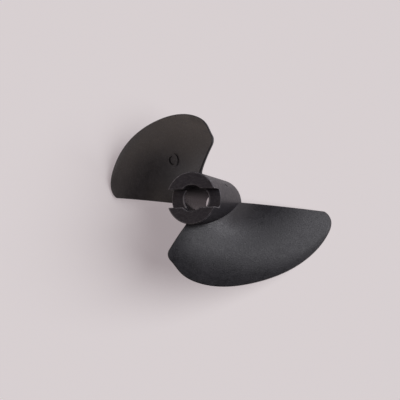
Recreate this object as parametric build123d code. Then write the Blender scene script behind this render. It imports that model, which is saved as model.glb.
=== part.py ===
from build123d import *

import math
import os

# A left-handed two-blade propeller for a model boat, as moulded in filled nylon: a tapered
# hub with a bore and a drive slot, and two blades whose roots meet it face to face.
#
# Frame: the origin is the centre of the bore on the hub's aft face. +Z runs along the hub
# axis towards the slotted drive face, and +X along the slot. Millimetres and degrees.

TIP_RADIUS = 22.5

# Hub: a barrel that moulding draft makes widest at its drive face
HUB_LENGTH = 15.0
DRIVE_FACE_RADIUS = 4.9
AFT_FACE_RADIUS = 4.65
AFT_EDGE_CHAMFER = 0.25      # on the rim and on the bore mouth
DRIVE_EDGE_CHAMFER = 0.15    # on the rim, the slot's edges and the bore mouth

# Bore, a sliding fit on a 3/16 in (4.76 mm) shaft, and the slot that takes the drive dog
BORE_RADIUS = 2.4
SLOT_WIDTH = 3.4
SLOT_DEPTH = 2.8
SLOT_FLOOR_FILLET = 0.3
SLOT_FLOOR_CHAMFER = 0.1     # where the slot floor meets the bore and the barrel

# Gate scar: a shallow dimple left in the side of the barrel
SCAR_RADIUS = 0.45
SCAR_DEPTH = 0.12
SCAR_ANGLE = 40.0
SCAR_HEIGHT = 6.0

# Blade outline seen along the hub axis: a straight leading edge, a rounded nose, a long
# sweep out to the tip corner and a straight trailing edge. Both straight edges start
# inside the hub.
LEADING_ROOT = (0.8, -1.0)
LEADING_END = (-4.25, -9.6)
NOSE_RADIUS = 1.7
NOSE_TURN = 69.0
SWEEP_POINTS = [
    (-2.45, -13.9),
    (0.7, -15.72),
    (4.6, -16.24),
    (9.85, -15.42),
    (15.5, -13.05),
    (19.45, -9.72),
    (21.47, -6.5),
]
TIP_CORNER_RADIUS = 2.6
TIP_CORNER_TURN = -56.0
TIP_KINK_RADIUS = 0.5        # a tighter turn where the trailing edge ends
TIP_KINK_TURN = -27.0
TRAILING_END = (20.7, -1.88)
TRAILING_ROOT = (1.5, 0.55)

# Middle surface of a blade: a left-handed screw whose radial lines bow, highest at the
# crest radius and falling away as a parabola on both sides of it
ROOT_PITCH = 42.0
TIP_PITCH = 47.5
CREST_RADIUS = 10.0
CREST_HEIGHT = 1.94          # at the crest radius, on the +X axis
BOW_RADIUS = 18.75

# Blade thickness: thin edges, and a ridge that runs from mid root to the tip corner
EDGE_THICKNESS = 0.5
ROOT_THICKNESS = 2.0
TIP_THICKNESS = 0.9
RIDGE_ROOT_ANGLE = -55.0
RIDGE_TIP_ANGLE = -13.0
RIDGE_ROOT_WIDTH = 36.0
RIDGE_TIP_WIDTH = 2.5
EDGE_ROUNDING = 0.18
ROOT_FLARE_REACH = 1.2       # radial width of the blend between blade and hub
ROOT_FLARE_RISE = 0.25       # thickness the blend adds on each side, at the hub

# Size mark on one blade: a plain raised ring, with no lettering
MARK_CENTRE = (5.8, -7.7)
MARK_OUTER_RADIUS = 1.3
MARK_INNER_RADIUS = 0.85
MARK_HEIGHT = 0.2

# Ranges the blade skins are drawn over. They reach past the outline on every side, and the
# aft skin reaches further, so that no walls of the two coincide.
SKIN_RADII = (3.8, 23.4)
SKIN_ANGLES = (-130.0, 14.0)
AFT_SKIN_MARGIN_RADIUS = 0.3
AFT_SKIN_MARGIN_ANGLE = 4.0
SKIN_RADIUS_STEPS = 28
SKIN_ANGLE_STEPS = 24
SKIN_TOLERANCE = 0.002

REACH = 60.0                 # longer than the propeller is deep
BARREL_SEAM_ANGLE = 40.0     # clear of both blade roots
HEIGHT_MATCH = 0.01          # how closely an edge must lie at a height to be picked


def hub_radius(height):
    """Radius of the tapered barrel at a height above its aft face."""
    taper = (DRIVE_FACE_RADIUS - AFT_FACE_RADIUS) / HUB_LENGTH
    return AFT_FACE_RADIUS + taper * height


def barrel():
    """Solid hub blank."""
    blank = Solid.make_cone(AFT_FACE_RADIUS, DRIVE_FACE_RADIUS, HUB_LENGTH)
    return Rot(0, 0, BARREL_SEAM_ANGLE) * blank


def make_hub():
    """Barrel with drive slot, through bore, softened edges and gate scar."""
    hub = barrel() - make_slot()
    hub -= Pos(0, 0, HUB_LENGTH / 2) * Cylinder(BORE_RADIUS, 2 * HUB_LENGTH)
    hub = chamfer(hub.edges().group_by(Axis.Z)[0], AFT_EDGE_CHAMFER)
    hub = chamfer(hub.edges().group_by(Axis.Z)[-1], DRIVE_EDGE_CHAMFER)
    hub = chamfer(slot_floor_arcs(hub), SLOT_FLOOR_CHAMFER)
    return hub - make_gate_scar()


def slot_floor_arcs(hub):
    """The curved edges of the slot's flat floor: round the bore and at its two ends."""
    floor_height = HUB_LENGTH - SLOT_DEPTH
    arcs = hub.edges().filter_by(GeomType.CIRCLE)
    return arcs.filter_by_position(Axis.Z, floor_height - HEIGHT_MATCH, floor_height + HEIGHT_MATCH)


def make_slot():
    """Cutter for the drive slot, rounded along its two floor corners."""
    length = 4 * DRIVE_FACE_RADIUS
    cutter = Box(length, SLOT_WIDTH, 2 * SLOT_DEPTH)
    floor_corners = cutter.edges().filter_by(Axis.X).group_by(Axis.Z)[0]
    return Pos(0, 0, HUB_LENGTH) * fillet(floor_corners, SLOT_FLOOR_FILLET)


def make_gate_scar():
    """Cutter for the dimple: a rod that starts just under the barrel's surface."""
    depth_reached = hub_radius(SCAR_HEIGHT) - SCAR_DEPTH
    rod = Cylinder(SCAR_RADIUS, AFT_FACE_RADIUS, align=(Align.CENTER, Align.CENTER, Align.MIN))
    facing_out = Rot(0, 0, SCAR_ANGLE) * Pos(depth_reached, 0, SCAR_HEIGHT) * Rot(0, 90, 0)
    return facing_out * rod


def span_fraction(radius):
    """0 at the hub and 1 at the blade tip."""
    return max(0.0, (radius - DRIVE_FACE_RADIUS) / (TIP_RADIUS - DRIVE_FACE_RADIUS))


def local_pitch(radius):
    """Axial advance in one turn, growing towards the tip."""
    return ROOT_PITCH + (TIP_PITCH - ROOT_PITCH) * span_fraction(radius) ** 2


def middle_height(radius, angle):
    """Height of the blade's middle surface."""
    bow = (radius - CREST_RADIUS) ** 2 / (2 * BOW_RADIUS)
    return CREST_HEIGHT - bow - local_pitch(radius) * angle / 360


def blade_thickness(radius, angle):
    """Thickness square to the blade, greatest along the ridge."""
    span = span_fraction(radius)
    ridge_angle = RIDGE_ROOT_ANGLE + (RIDGE_TIP_ANGLE - RIDGE_ROOT_ANGLE) * span ** 3
    ridge_width = RIDGE_ROOT_WIDTH + (RIDGE_TIP_WIDTH - RIDGE_ROOT_WIDTH) * span ** 3
    ridge_thickness = ROOT_THICKNESS + (TIP_THICKNESS - ROOT_THICKNESS) * span
    off_ridge = (angle - ridge_angle) / ridge_width
    section = EDGE_THICKNESS + (ridge_thickness - EDGE_THICKNESS) * math.exp(-off_ridge ** 2)
    return section + 2 * root_flare(radius)


def root_flare(radius):
    """Thickness added to one side of the blade where it blends into the hub."""
    gap = (radius - AFT_FACE_RADIUS) / ROOT_FLARE_REACH
    return ROOT_FLARE_RISE * max(0.0, 1 - gap) ** 2


def skin_height(radius, angle, side):
    """Height of the forward skin (side = 1) or the aft skin (side = -1)."""
    slope = local_pitch(radius) / (2 * math.pi * radius)
    half_height = blade_thickness(radius, angle) / 2 * math.hypot(1, slope)
    return middle_height(radius, angle) + side * half_height


def blade_skin(side, lift=0.0):
    """One skin of a blade as a smooth face over the whole drawing range."""
    margin_radius = AFT_SKIN_MARGIN_RADIUS if side < 0 else 0.0
    margin_angle = AFT_SKIN_MARGIN_ANGLE if side < 0 else 0.0
    first_radius = SKIN_RADII[0] - margin_radius
    radius_range = SKIN_RADII[1] + margin_radius - first_radius
    first_angle = SKIN_ANGLES[0] - margin_angle
    angle_range = SKIN_ANGLES[1] + margin_angle - first_angle
    rows = []
    for i in range(SKIN_RADIUS_STEPS + 1):
        radius = first_radius + radius_range * i / SKIN_RADIUS_STEPS
        row = []
        for j in range(SKIN_ANGLE_STEPS + 1):
            angle = first_angle + angle_range * j / SKIN_ANGLE_STEPS
            height = skin_height(radius, angle, side) + lift
            row.append(Vector(radius, 0, height).rotate(Axis.Z, angle))
        rows.append(row)
    return Face.make_surface_from_array_of_points(rows, tol=SKIN_TOLERANCE)


def everything_below(skin):
    """Deep solid whose top is the given skin."""
    return extrude(skin, amount=REACH, dir=(0, 0, -1))


def upright_column(flat_shape):
    """Column with the given plan, tall enough to pass right through a blade."""
    return extrude(Pos(0, 0, -REACH / 2) * flat_shape, amount=REACH, dir=(0, 0, 1))


def blade_outline():
    """Face enclosed by the blade's edges, closed off inside the hub."""
    leading = Line(LEADING_ROOT, LEADING_END)
    nose = JernArc(leading @ 1, leading % 1, NOSE_RADIUS, NOSE_TURN)
    trailing = Line(TRAILING_ROOT, TRAILING_END)
    kink = JernArc(trailing @ 1, trailing % 1, TIP_KINK_RADIUS, TIP_KINK_TURN)
    tip_corner = JernArc(kink @ 1, kink % 1, TIP_CORNER_RADIUS, TIP_CORNER_TURN)
    sweep = Spline(
        [nose @ 1, *SWEEP_POINTS, tip_corner @ 1],
        tangents=[nose % 1, -(tip_corner % 1)],
        tangent_scalars=[1.0, 1.0],
    )
    inside_hub = Line(trailing @ 0, leading @ 0)
    edges = [leading, nose, sweep, tip_corner, kink, trailing, inside_hub]
    return make_face(Curve() + edges)


def make_blade():
    """The blade between its two skins, rounded at its edges and cut to sit on the hub."""
    blade = upright_column(blade_outline()) & everything_below(blade_skin(1))
    blade -= everything_below(blade_skin(-1))
    blade = fillet([edge for edge in blade.edges() if is_rim(edge)], EDGE_ROUNDING)
    return blade - barrel() - beyond_hub_ends()


def is_rim(edge):
    """True for the edges that run round the blade outside the hub."""
    start = edge @ 0
    end = edge @ 1
    runs_along = math.hypot(end.X - start.X, end.Y - start.Y) > EDGE_THICKNESS
    outer_end = max(math.hypot(start.X, start.Y), math.hypot(end.X, end.Y))
    return runs_along and outer_end > DRIVE_FACE_RADIUS


def beyond_hub_ends():
    """Cutter that stops the root blends at the hub's end chamfers."""
    plug = Cylinder(DRIVE_FACE_RADIUS + ROOT_FLARE_REACH, REACH)
    past_drive_face = Pos(0, 0, HUB_LENGTH - DRIVE_EDGE_CHAMFER + REACH / 2) * plug
    past_aft_face = Pos(0, 0, AFT_EDGE_CHAMFER - REACH / 2) * plug
    return past_drive_face + past_aft_face


def make_size_mark():
    """Raised ring that follows the blade's forward skin."""
    plan = Pos(*MARK_CENTRE) * (Circle(MARK_OUTER_RADIUS) - Circle(MARK_INNER_RADIUS))
    ring = upright_column(plan) & everything_below(blade_skin(1, lift=MARK_HEIGHT))
    return ring - everything_below(blade_skin(1, lift=-MARK_HEIGHT))


os.makedirs("parts", exist_ok=True)
plain_blade = make_blade()
marked_blade = plain_blade + make_size_mark()
export_step(make_hub(), "parts/hub.step")
export_step(plain_blade, "parts/blade_a.step")
export_step(Rot(0, 0, 180) * marked_blade, "parts/blade_b.step")
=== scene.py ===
import math

import bpy
from mathutils import Matrix, Vector


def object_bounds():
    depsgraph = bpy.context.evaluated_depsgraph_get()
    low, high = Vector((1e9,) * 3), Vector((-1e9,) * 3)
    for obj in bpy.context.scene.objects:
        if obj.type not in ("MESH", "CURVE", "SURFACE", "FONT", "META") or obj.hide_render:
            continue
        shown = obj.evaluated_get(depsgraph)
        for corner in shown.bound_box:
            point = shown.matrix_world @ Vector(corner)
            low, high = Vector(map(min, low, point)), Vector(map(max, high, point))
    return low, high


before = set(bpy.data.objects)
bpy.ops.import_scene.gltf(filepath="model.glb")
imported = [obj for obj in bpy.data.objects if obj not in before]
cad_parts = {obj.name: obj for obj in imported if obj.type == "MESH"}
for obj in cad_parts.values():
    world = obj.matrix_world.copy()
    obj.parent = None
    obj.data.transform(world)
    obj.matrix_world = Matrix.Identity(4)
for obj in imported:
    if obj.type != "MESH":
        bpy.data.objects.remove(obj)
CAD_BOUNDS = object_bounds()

# Looks for a two-blade model boat propeller moulded in black filled nylon.
# Everything is in the row frame, in metres: +Z runs along the hub axis towards the slotted
# drive face, and +X along the slot. Inside the materials, lengths are in millimetres.

MM = 0.001

# Camera: a long lens looking down on the drive face, with the slot level across the picture
CAMERA_PLACE = (237.36 * MM, -61.51 * MM, 662.36 * MM)
CAMERA_BACK = (0.3407, -0.0883, 0.9360)
CAMERA_UP = (0.0302, 0.9961, 0.0830)
CAMERA_LENS = 337.1
CAMERA_SENSOR = 36.0
CAMERA_NEAREST = 0.01
CAMERA_FARTHEST = 20

# Floor: a pale sheet just below the propeller's lowest point. It glows faintly, as a lit
# table does
FLOOR_DROP = 0.05 * MM
FLOOR_SIZE = 6.0
FLOOR_COLOUR = (0.65, 0.63, 0.63, 1)
FLOOR_GLOW_COLOUR = (1.0, 0.87, 0.90, 1)
FLOOR_GLOW = 0.34

# Studio: a wide sun lights the floor alone, and soft boxes at this distance light the
# propeller alone, so that floor shadows and sheen are set apart
LIGHT_DISTANCE = 0.6
BACKDROP_COLOUR = (0.665, 0.63, 0.64, 1)
AMBIENT = 0.03
FLOOR_SUN = {"azimuth": 2, "elevation": 38, "spread": 38, "power": 2.62}

# Soft boxes: azimuth from +X towards +Y and elevation, in degrees, then width and height in
# metres, power in watts and colour
DAYLIGHT = (0.965, 0.955, 1.0)
WARM = (1.0, 0.83, 0.73)
VIOLET = (1.0, 0.85, 1.0)
SOFT_BOXES = {
    "low_window": (50, 8, 0.25, 0.25, 1.05, DAYLIGHT),
    "low_right": (18, 10, 0.28, 0.25, 1.12, DAYLIGHT),
    "side_window": (65, 19, 0.25, 0.32, 0.46, DAYLIGHT),
    "right_panel": (24, 42, 0.42, 0.25, 0.92, DAYLIGHT),
    "window": (50, 42, 0.25, 0.25, 0.19, DAYLIGHT),
    "overhead": (200, 62, 0.25, 0.25, 0.15, VIOLET),
    "high_back": (290, 70, 0.25, 0.25, 0.14, DAYLIGHT),
    "left_window": (152, 24, 0.34, 0.25, 0.49, WARM),
    "left_panel": (160, 42, 0.25, 0.25, 0.24, WARM),
    "low_left": (180, 16, 0.25, 0.25, 0.18, WARM),
    "back_fill": (240, 24, 0.30, 0.25, 0.25, WARM),
}

# Hub places the materials follow, in millimetres. The bore lies within its wall's radius, and
# the sawn slot and drive face lie within their radius and above their height. Out to the
# rim's radius and below its top, the faces round the mouths of the bore are painted pale as a
# rim highlight. Across its band of +Y, the bore's sheen is taken down into painted shade
BORE_WALL_RADIUS = 2.46
SAWN_RADIUS = 4.76
SAWN_HEIGHT = 12.18
RIM_RADIUS = 2.8
RIM_TOP = 12.6
PAINTED_SHADE_BAND = (0.5, 2.1)

# Nylon colours
DARK_NYLON = (0.0077, 0.0071, 0.0096, 1)
PALE_NYLON = (0.0174, 0.0162, 0.0203, 1)
GLASS_SPECK = (0.060, 0.058, 0.058, 1)
SAW_MARK = (0.050, 0.048, 0.050, 1)
RUBBED_EDGE = (0.060, 0.058, 0.058, 1)
# pale worn edges, pale enough on the hub to be painted edge highlights too, and also the painted
# rim highlight round the bore
PALE_EDGE_WEAR_AND_HIGHLIGHT = (0.30, 0.285, 0.295, 1)

# Tints of the sheen
HUB_TINT = (1.0, 0.93, 0.98, 1)
BORE_TINT = (0.96, 0.71, 0.80, 1)
NO_TINT = (1, 1, 1, 1)

# Sizes of the patterns and widths of the worn edges, which on the hub are also painted edge
# highlights, in millimetres
CLOUD_SIZE = 4.0
WAVE_SIZE = 2.5
BLOTCH_SIZE = 0.9
FINE_SIZE = 0.30
GRAIN_SIZE = 0.28
SPECK_SIZE = 0.26
SAW_MARK_SIZE = 0.24
BLADE_EDGE_WIDTH = 0.12
HUB_EDGE_WIDTH = 0.16

# Heights of the bumps, in millimetres
WAVE_HEIGHT = 0.012
BLADE_GRAIN_HEIGHT = 0.02
HUB_GRAIN_HEIGHT = 0.025
SAW_MARK_HEIGHT = 0.025

# How far each mark covers the nylon, from its faintest places to its strongest
NOWHERE_TO_FULL = (0.0, 1.0)
SPECK_COVER = (0.0, 0.30)
SAW_MARK_COVER = (0.0, 0.45)
BLADE_EDGE_COVER = (0.05, 0.25)
HUB_EDGE_COVER = (0.25, 0.9)
PAINTED_RIM_HIGHLIGHT_COVER = (0.0, 0.8)
PAINTED_SHADE_COVER = (0.0, 0.8)

# Roughness, how far it varies over the nylon, and strength of the sheen
BLADE_ROUGHNESS = 0.45
BARREL_ROUGHNESS = 0.47
SAWN_ROUGHNESS = 0.57
BORE_ROUGHNESS = 0.22
PAINTED_SHADE_ROUGHNESS = 0.72
ROUGHNESS_SWING = (-0.08, 0.08)
BLADE_GLOSS = 0.5
BARREL_GLOSS = 0.41
SAWN_GLOSS = 0.47
PAINTED_SHADE_GLOSS = 0.05


def link(obj):
    bpy.context.scene.collection.objects.link(obj)
    return obj


def new_material(name):
    material = bpy.data.materials.new(name)
    material.use_nodes = True
    material.node_tree.nodes.clear()
    return material, material.node_tree


def node(tree, kind, inputs, **settings):
    """Adds a node. An input is given as a value, or as the output it is joined to."""
    made = tree.nodes.new(kind)
    for name, value in settings.items():
        setattr(made, name, value)
    for name, value in inputs.items():
        if isinstance(value, bpy.types.NodeSocket):
            tree.links.new(value, made.inputs[name])
        else:
            made.inputs[name].default_value = value
    return made


def maths(tree, operation, first, second):
    return node(tree, "ShaderNodeMath", {0: first, 1: second}, operation=operation).outputs[0]


def place_in_mm(tree):
    """Place on the surface, in the row frame, in millimetres."""
    place = node(tree, "ShaderNodeTexCoord", {}).outputs["Object"]
    scaled = node(tree, "ShaderNodeVectorMath", {0: place, "Scale": 1 / MM}, operation="SCALE")
    return scaled.outputs[0]


def stretched_along_slot(tree, place):
    """The place halved along X, so that a pattern on it is drawn out along the slot."""
    halved = {0: place, 1: (0.5, 1.0, 1.0)}
    return node(tree, "ShaderNodeVectorMath", halved, operation="MULTIPLY").outputs[0]


def noise(tree, place, size, detail=2.0):
    """Soft random pattern from 0 to 1, with blotches about as wide as the size."""
    made = node(tree, "ShaderNodeTexNoise", {"Vector": place, "Scale": 1 / size, "Detail": detail})
    return made.outputs[0]


def remap(tree, value, old, new):
    """The value carried from the old range to the new one, and held within it."""
    limits = {"Value": value, 1: old[0], 2: old[1], 3: new[0], 4: new[1]}
    return node(tree, "ShaderNodeMapRange", limits).outputs[0]


def blend_colour(tree, share, first, second):
    inputs = {"Factor": share, 6: first, 7: second}
    return node(tree, "ShaderNodeMix", inputs, data_type="RGBA").outputs[2]


def blend_value(tree, share, first, second):
    inputs = {"Factor": share, 2: first, 3: second}
    return node(tree, "ShaderNodeMix", inputs, data_type="FLOAT").outputs[0]


def distance_from_axis(tree, place):
    flat = node(tree, "ShaderNodeVectorMath", {0: place, 1: (1, 1, 0)}, operation="MULTIPLY")
    return node(tree, "ShaderNodeVectorMath", {0: flat.outputs[0]}, operation="LENGTH").outputs[1]


def sharp_edges(tree, width):
    """1 along edges and 0 elsewhere: where a rounded normal parts from the true one."""
    rounded = node(tree, "ShaderNodeBevel", {"Radius": width * MM}, samples=6).outputs[0]
    true = node(tree, "ShaderNodeNewGeometry", {}).outputs["True Normal"]
    agreement = node(tree, "ShaderNodeVectorMath", {0: rounded, 1: true}, operation="DOT_PRODUCT")
    return remap(tree, agreement.outputs[1], (0.99, 0.90), NOWHERE_TO_FULL)


def bump(tree, pattern, height, below=None):
    inputs = {"Height": pattern, "Distance": height * MM, "Strength": 1.0}
    if below is not None:
        inputs["Normal"] = below
    return node(tree, "ShaderNodeBump", inputs).outputs[0]


def nylon_pattern(tree, place):
    """Mottled charcoal colour, roughness swing and blotches shared by the whole moulding."""
    clouds = noise(tree, place, CLOUD_SIZE, detail=3.0)
    blotches = noise(tree, place, BLOTCH_SIZE, detail=4.0)
    tone = remap(tree, maths(tree, "ADD", clouds, blotches), (0.7, 1.3), NOWHERE_TO_FULL)
    nylon = blend_colour(tree, tone, DARK_NYLON, PALE_NYLON)
    specks = remap(tree, noise(tree, place, SPECK_SIZE, detail=1.0), (0.58, 0.74), SPECK_COVER)
    colour = blend_colour(tree, specks, nylon, GLASS_SPECK)
    fine = noise(tree, place, FINE_SIZE)
    swing = remap(tree, maths(tree, "ADD", blotches, fine), (0.7, 1.3), ROUGHNESS_SWING)
    return colour, swing, blotches


def edge_wear_and_highlight(tree, width, blotches, cover):
    """Patchy wear along the edges; on the hub it is also a painted edge highlight."""
    patches = remap(tree, blotches, (0.4, 0.6), cover)
    return maths(tree, "MULTIPLY", sharp_edges(tree, width), patches)


def finish_material(tree, colour, roughness, normal, gloss, tint):
    surface = node(tree, "ShaderNodeBsdfPrincipled", {
        "Base Color": colour,
        "Roughness": roughness,
        "Normal": normal,
        "IOR": 1.5,
        "Specular IOR Level": gloss,
        "Specular Tint": tint,
    })
    node(tree, "ShaderNodeOutputMaterial", {"Surface": surface.outputs[0]})


def blade_nylon():
    """Satin moulded faces: fine grain, faint waves, paler rubbed edges."""
    material, tree = new_material("blade_nylon")
    place = place_in_mm(tree)
    colour, swing, blotches = nylon_pattern(tree, place)
    rubbed = edge_wear_and_highlight(tree, BLADE_EDGE_WIDTH, blotches, BLADE_EDGE_COVER)
    colour = blend_colour(tree, rubbed, colour, RUBBED_EDGE)
    roughness = maths(tree, "ADD", swing, BLADE_ROUGHNESS)
    waves = bump(tree, noise(tree, place, WAVE_SIZE, detail=1.0), WAVE_HEIGHT)
    grain = bump(tree, noise(tree, place, GRAIN_SIZE, detail=3.0), BLADE_GRAIN_HEIGHT, waves)
    finish_material(tree, colour, roughness, grain, BLADE_GLOSS, NO_TINT)
    return material


def hub_zones(tree, place):
    """How far each place belongs to the bore, the sawn faces, the painted shade in the bore and
    the painted rim highlight.
    """
    along = node(tree, "ShaderNodeSeparateXYZ", {"Vector": place}).outputs
    from_axis = distance_from_axis(tree, place)
    in_bore = maths(tree, "LESS_THAN", from_axis, BORE_WALL_RADIUS)

    in_sawn_radius = maths(tree, "LESS_THAN", from_axis, SAWN_RADIUS)
    above_slot_floor = maths(tree, "GREATER_THAN", along["Z"], SAWN_HEIGHT)
    sawn = maths(tree, "MULTIPLY", in_sawn_radius, above_slot_floor)

    # painted shade: towards +Y the bore loses its sheen and grows rougher, standing in for shade
    # on its upper wall
    painted_shade_strength = remap(tree, along["Y"], PAINTED_SHADE_BAND, PAINTED_SHADE_COVER)
    painted_shade = maths(tree, "MULTIPLY", in_bore, painted_shade_strength)

    # painted highlight: a pale ring on the faces round each mouth of the bore, standing in for
    # light caught on its rim
    out_of_bore = maths(tree, "SUBTRACT", 1.0, in_bore)
    below_rim_top = maths(tree, "LESS_THAN", along["Z"], RIM_TOP)
    near_bore = remap(tree, from_axis, (RIM_RADIUS, BORE_WALL_RADIUS), PAINTED_RIM_HIGHLIGHT_COVER)
    painted_rim_highlight = maths(tree, "MULTIPLY", near_bore, maths(tree, "MULTIPLY", below_rim_top, out_of_bore))
    return in_bore, sawn, painted_shade, painted_rim_highlight


def hub_nylon():
    """Moulded barrel, matt sawn faces with worn edges also painted pale as edge highlights, a
    painted rim highlight round the bore's mouths, and a smooth bore with painted shade on its +Y
    side.
    """
    material, tree = new_material("hub_nylon")
    place = place_in_mm(tree)
    in_bore, sawn, painted_shade, painted_rim_highlight = hub_zones(tree, place)

    colour, swing, blotches = nylon_pattern(tree, place)
    saw_marks = noise(tree, stretched_along_slot(tree, place), SAW_MARK_SIZE)
    marked = maths(tree, "MULTIPLY", sawn, remap(tree, saw_marks, (0.40, 0.70), SAW_MARK_COVER))
    colour = blend_colour(tree, marked, colour, SAW_MARK)
    # worn edges, also painted pale as highlights where the edges catch light
    worn_and_highlit_edges = edge_wear_and_highlight(tree, HUB_EDGE_WIDTH, blotches, HUB_EDGE_COVER)
    colour = blend_colour(tree, worn_and_highlit_edges, colour, PALE_EDGE_WEAR_AND_HIGHLIGHT)
    # painted highlight: the pale ring round the bore's mouths
    colour = blend_colour(tree, painted_rim_highlight, colour, PALE_EDGE_WEAR_AND_HIGHLIGHT)

    outside = maths(tree, "ADD", swing, blend_value(tree, sawn, BARREL_ROUGHNESS, SAWN_ROUGHNESS))
    # painted shade in the bore: rougher and with almost no sheen towards +Y
    inside = blend_value(tree, painted_shade, BORE_ROUGHNESS, PAINTED_SHADE_ROUGHNESS)
    roughness = blend_value(tree, in_bore, outside, inside)
    clean_gloss = blend_value(tree, sawn, BARREL_GLOSS, SAWN_GLOSS)
    gloss = blend_value(tree, painted_shade, clean_gloss, PAINTED_SHADE_GLOSS)
    tint = blend_colour(tree, in_bore, HUB_TINT, BORE_TINT)

    grain = bump(tree, noise(tree, place, GRAIN_SIZE, detail=3.0), HUB_GRAIN_HEIGHT)
    normal = bump(tree, maths(tree, "MULTIPLY", saw_marks, sawn), SAW_MARK_HEIGHT, grain)
    finish_material(tree, colour, roughness, normal, gloss, tint)
    return material


def pale_floor():
    material, tree = new_material("pale_floor")
    surface = node(tree, "ShaderNodeBsdfPrincipled", {
        "Base Color": FLOOR_COLOUR,
        "Roughness": 0.6,
        "Specular IOR Level": 0.2,
        "Emission Color": FLOOR_GLOW_COLOUR,
        "Emission Strength": FLOOR_GLOW,
    })
    node(tree, "ShaderNodeOutputMaterial", {"Surface": surface.outputs[0]})
    return material


def paint(obj, material):
    obj.data.materials.clear()
    obj.data.materials.append(material)


def make_floor(height):
    mesh = bpy.data.meshes.new("floor")
    half = FLOOR_SIZE / 2
    square = [(-half, -half), (half, -half), (half, half), (-half, half)]
    mesh.from_pydata([(x, y, height) for x, y in square], [], [(0, 1, 2, 3)])
    floor = link(bpy.data.objects.new("floor", mesh))
    paint(floor, pale_floor())
    return floor


def hang(name, data, lit, azimuth, elevation):
    """Hangs a light that faces the origin and reaches only the objects in one group."""
    turn = math.radians(azimuth)
    rise = math.radians(elevation)
    reach = math.cos(rise)
    direction = Vector((math.cos(turn) * reach, math.sin(turn) * reach, math.sin(rise)))
    lamp = link(bpy.data.objects.new(name, data))
    lamp.location = direction * LIGHT_DISTANCE
    lamp.rotation_mode = "QUATERNION"
    lamp.rotation_quaternion = (-direction).to_track_quat("-Z", "Y")
    lamp.visible_camera = False
    lamp.light_linking.receiver_collection = lit


def soft_box(name, lit, azimuth, elevation, width, height, power, colour):
    data = bpy.data.lights.new(name, "AREA")
    data.shape = "ELLIPSE"
    data.size = width
    data.size_y = height
    data.energy = power
    data.color = colour
    hang(name, data, lit, azimuth, elevation)


def sun(name, lit, azimuth, elevation, spread, power):
    data = bpy.data.lights.new(name, "SUN")
    data.angle = math.radians(spread)
    data.energy = power
    hang(name, data, lit, azimuth, elevation)


def lit_group(name, members):
    """Names the objects that a light reaches."""
    group = bpy.data.collections.new(name)
    for member in members:
        group.objects.link(member)
    return group


def make_world():
    """The camera sees a pale backdrop, and surfaces get a faint even fill of the same colour."""
    world = bpy.data.worlds.new("studio")
    bpy.context.scene.world = world
    world.use_nodes = True
    tree = world.node_tree
    tree.nodes.clear()
    seen = node(tree, "ShaderNodeLightPath", {}).outputs["Is Camera Ray"]
    strength = blend_value(tree, seen, AMBIENT, 1.0)
    back = node(tree, "ShaderNodeBackground", {"Color": BACKDROP_COLOUR, "Strength": strength})
    node(tree, "ShaderNodeOutputWorld", {"Surface": back.outputs[0]})


def make_lights(propeller, floor):
    on_propeller = lit_group("lit_by_soft_boxes", propeller)
    for name, setting in SOFT_BOXES.items():
        soft_box(name, on_propeller, *setting)
    on_floor = lit_group("lit_by_sun", [floor])
    sun("floor_sun", on_floor, **FLOOR_SUN)


def make_camera():
    data = bpy.data.cameras.new("camera")
    data.lens = CAMERA_LENS
    data.sensor_width = CAMERA_SENSOR
    data.clip_start = CAMERA_NEAREST
    data.clip_end = CAMERA_FARTHEST
    camera = link(bpy.data.objects.new("camera", data))
    back = Vector(CAMERA_BACK).normalized()
    right = Vector(CAMERA_UP).cross(back).normalized()
    up = back.cross(right)
    camera.matrix_world = Matrix((
        (right.x, up.x, back.x, CAMERA_PLACE[0]),
        (right.y, up.y, back.y, CAMERA_PLACE[1]),
        (right.z, up.z, back.z, CAMERA_PLACE[2]),
        (0, 0, 0, 1),
    ))
    bpy.context.scene.camera = camera


hub_finish = hub_nylon()
blade_finish = blade_nylon()
for name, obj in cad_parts.items():
    paint(obj, hub_finish if name == "hub" else blade_finish)
floor = make_floor(CAD_BOUNDS[0].z - FLOOR_DROP)
make_world()
make_lights(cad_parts.values(), floor)
make_camera()
bpy.context.scene.view_settings.view_transform = "Standard"
